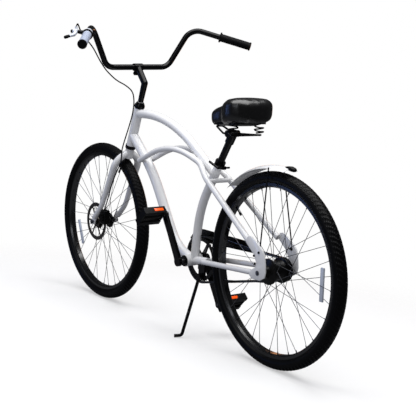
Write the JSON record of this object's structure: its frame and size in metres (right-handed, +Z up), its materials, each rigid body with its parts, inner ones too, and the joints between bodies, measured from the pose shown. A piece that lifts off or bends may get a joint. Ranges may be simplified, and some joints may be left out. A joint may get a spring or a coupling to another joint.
{
  "type": "beach cruiser bicycle",
  "caption": "Cruiser bicycle with balloon tyres, curved twin-tube frame, swept-back bar, sprung saddle, disc brake and side stand.",
  "frame": {"origin": "on the floor, midway between the axles and below the middle of the handlebar's width", "axes": "+X forward along the bicycle, +Y to the rider's left, +Z up; the bicycle leans 5 degrees to +Y on its stand"},
  "size_m": [1.789, 0.8276, 1.1659],
  "materials": {
    "frame_paint": "gloss white enamel",
    "black_paint": "gloss black enamel",
    "rim_black": "gloss black enamel on rolled rims",
    "hub_black": "satin black hub shells",
    "tyre_rubber": "black tyre rubber",
    "spoke_steel": "drawn steel wire",
    "rotor_steel": "ground stainless steel",
    "axle_steel": "blackened and plated steel",
    "chain_steel": "oiled dark steel",
    "lever_alloy": "polished alloy",
    "black_plastic": "moulded black plastic",
    "grip_rubber": "moulded rubber",
    "cable_sleeve": "plastic sleeve",
    "saddle_vinyl": "smooth black vinyl"
  },
  "bodies": {
    "frame": {"head_tube": "frame_paint", "headset_cups": "black_paint", "top_tube": "frame_paint", "down_tube": "frame_paint", "seat_tube": "frame_paint", "lower_tube_left": "frame_paint", "lower_tube_right": "frame_paint", "stay_bridge": "frame_paint", "bottom_bracket_shell": "frame_paint", "bottom_bracket_cups": "axle_steel", "chain_stay_yoke": "frame_paint", "chain_stays": "frame_paint", "dropouts": "frame_paint", "rear_axle": "axle_steel", "rear_fender": "frame_paint", "fender_stays": "black_paint", "fender_tail": "black_plastic", "chain_guard": "black_paint", "chain": "chain_steel", "seat_clamp": "black_paint", "stand_bracket": "black_paint"},
    "seat": {"seat_post": "black_paint", "saddle_clamp": "black_paint", "saddle_frame": "black_paint", "saddle_springs": "black_paint", "saddle_pan": "black_plastic", "saddle_cover": "saddle_vinyl"},
    "steering": {"fork_steerer": "frame_paint", "headset_nut": "black_paint", "fork_legs": "frame_paint", "stem": "black_paint", "handlebar": "black_paint", "grips": "grip_rubber", "brake_lever": "lever_alloy", "brake_cable": "cable_sleeve", "brake_caliper": "black_plastic", "front_axle": "axle_steel"},
    "front_wheel": {"front_hub": "hub_black", "brake_rotor": "rotor_steel", "front_spokes": "spoke_steel", "front_rim": "rim_black", "front_tyre": "tyre_rubber"},
    "rear_wheel": {"rear_hub": "hub_black", "rear_spokes": "spoke_steel", "rear_rim": "rim_black", "rear_tyre": "tyre_rubber"},
    "sprocket": {"sprocket": "chain_steel"},
    "crank": {"crank_spindle": "axle_steel", "crank_arms": "black_paint", "chainring": "black_paint", "pedal_axles": "axle_steel"},
    "pedal_left": {"pedal_body_left": "black_plastic"},
    "pedal_right": {"pedal_body_right": "black_plastic"},
    "kickstand": {"kickstand": "black_paint"}
  },
  "joints": [
    {"name": "steering_turn", "type": "hinge", "parent": "frame", "child": "steering", "pos_m": [0.3275, -0.02638, 0.74615], "axis": [-0.3502, 0.0816, 0.9331], "range_deg": [-60, 60]},
    {"name": "front_wheel_spin", "type": "hinge", "parent": "steering", "child": "front_wheel", "pos_m": [0.5615, -0.06264, 0.33173], "axis": [0, 0.9962, -0.0872], "continuous": true},
    {"name": "rear_wheel_spin", "type": "hinge", "parent": "frame", "child": "rear_wheel", "pos_m": [-0.5615, -0.06264, 0.33173], "axis": [0, 0.9962, -0.0872], "continuous": true},
    {"name": "crank_spin", "type": "hinge", "parent": "frame", "child": "crank", "pos_m": [-0.0915, -0.067, 0.28192], "axis": [0, 0.9962, -0.0872], "continuous": true},
    {"name": "sprocket_spin", "type": "hinge", "parent": "frame", "child": "sprocket", "pos_m": [-0.5615, -0.06264, 0.33173], "axis": [0, 0.9962, -0.0872], "continuous": true},
    {"name": "pedal_left_spin", "type": "hinge", "parent": "crank", "child": "pedal_left", "pos_m": [-0.02117, 0.0879, 0.43469], "axis": [0, 0.9962, -0.0872], "continuous": true},
    {"name": "pedal_right_spin", "type": "hinge", "parent": "crank", "child": "pedal_right", "pos_m": [-0.16183, -0.2219, 0.12915], "axis": [0, 0.9962, -0.0872], "continuous": true},
    {"name": "kickstand_fold", "type": "hinge", "parent": "frame", "child": "kickstand", "pos_m": [-0.1775, -0.04285, 0.23665], "axis": [0, 0.9962, -0.0872], "range_deg": [0, 100]},
    {"name": "seat_height", "type": "slide", "parent": "frame", "child": "seat", "axis": [-0.5373, 0.0735, 0.8402], "range_m": [-0.03, 0.035]}
  ],
  "couplings": [
    {"joint": "sprocket_spin", "follows": "crank_spin", "ratio": 2.4444}
  ]
}
